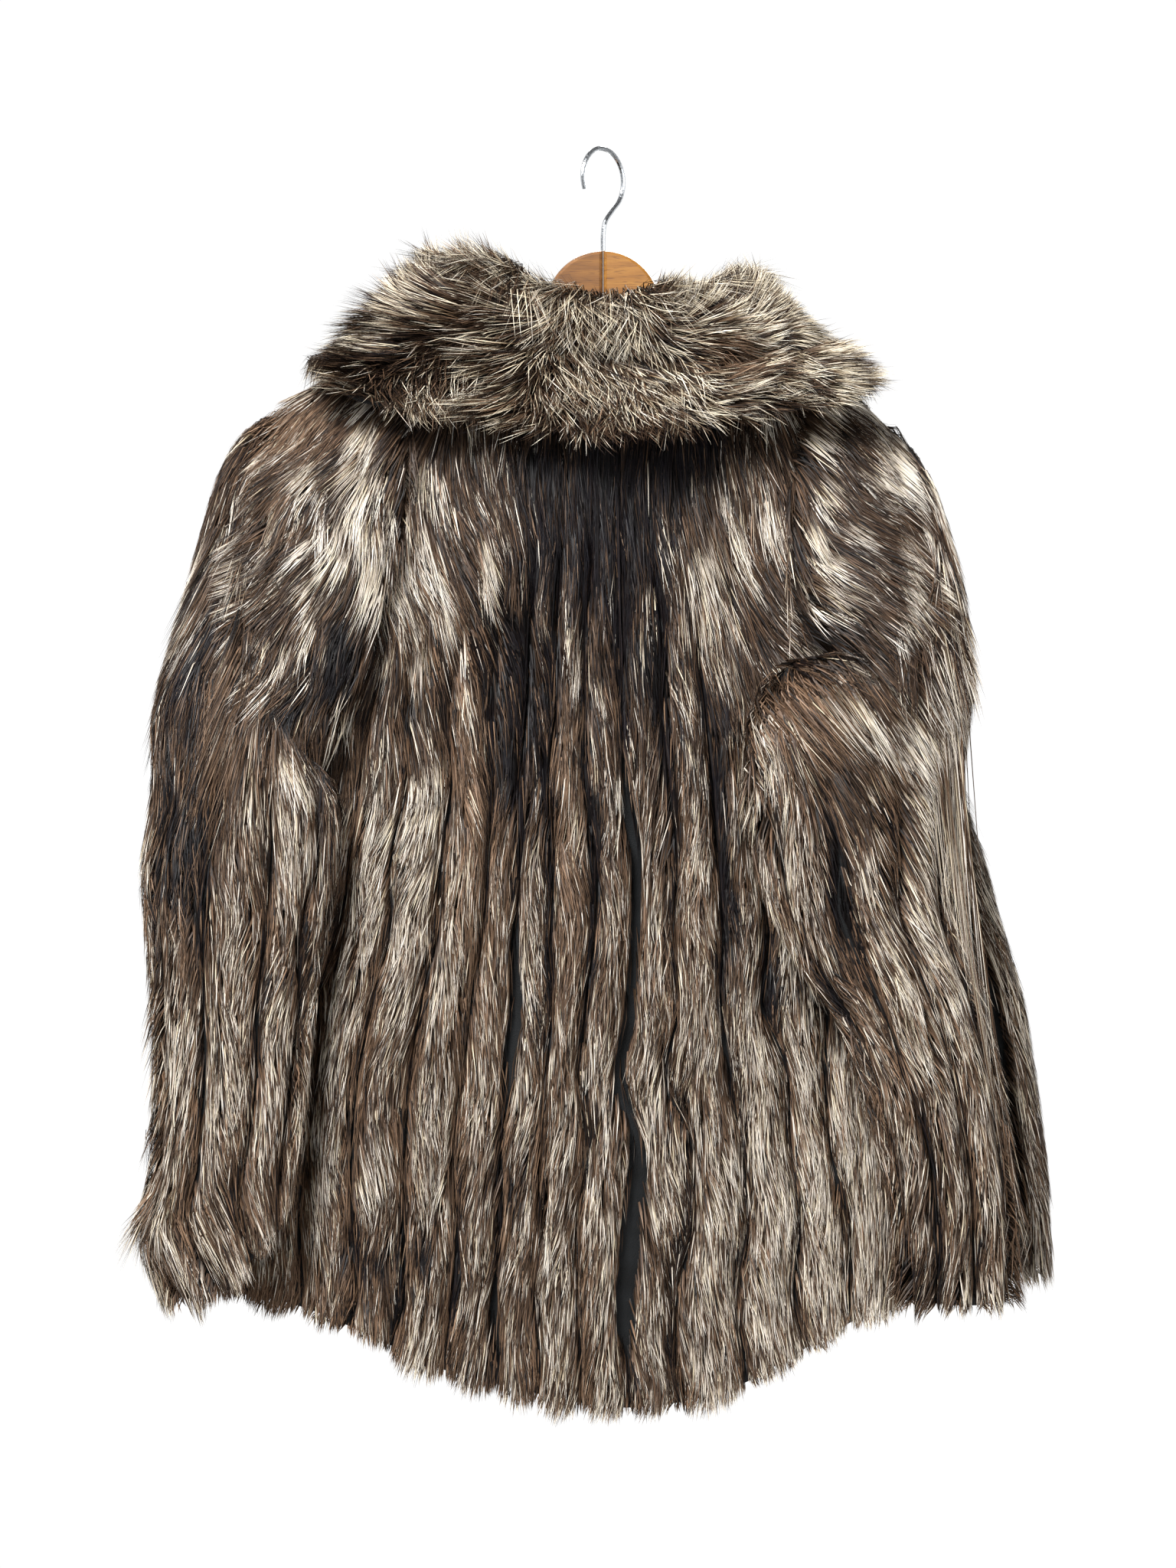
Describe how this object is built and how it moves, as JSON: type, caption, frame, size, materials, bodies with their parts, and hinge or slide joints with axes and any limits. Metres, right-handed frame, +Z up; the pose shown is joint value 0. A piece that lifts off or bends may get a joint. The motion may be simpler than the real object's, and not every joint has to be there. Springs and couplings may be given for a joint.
{
  "type": "fur coat",
  "caption": "Long-haired striped fur coat with a wide turned-down shawl collar, hanging open-fronted on a wooden hanger with a wire hook.",
  "frame": {"origin": "inner top of the hanger's wire hook, where a rail carries the coat", "axes": "+Z up, +Y out of the coat's open front, so its back faces -Y, and the wearer's left is at -X"},
  "size_m": [0.7272, 0.1974, 1.0023],
  "materials": {
    "fur_grey": "long salt-and-pepper hair in strips",
    "fur_brown": "long brown hair with pale bands",
    "fur_cream": "shorter brown hair with cream tips",
    "beech_dark": "lacquered",
    "beech_light": "lacquered",
    "steel_wire": "polished"
  },
  "bodies": {
    "root": {"back": "fur_grey", "front_left": "fur_grey", "front_right": "fur_grey", "sleeve_left": "fur_brown", "sleeve_right": "fur_brown", "collar": "fur_cream", "hanger_right": "beech_light", "hanger_left": "beech_dark", "hook": "steel_wire"}
  },
  "joints": []
}
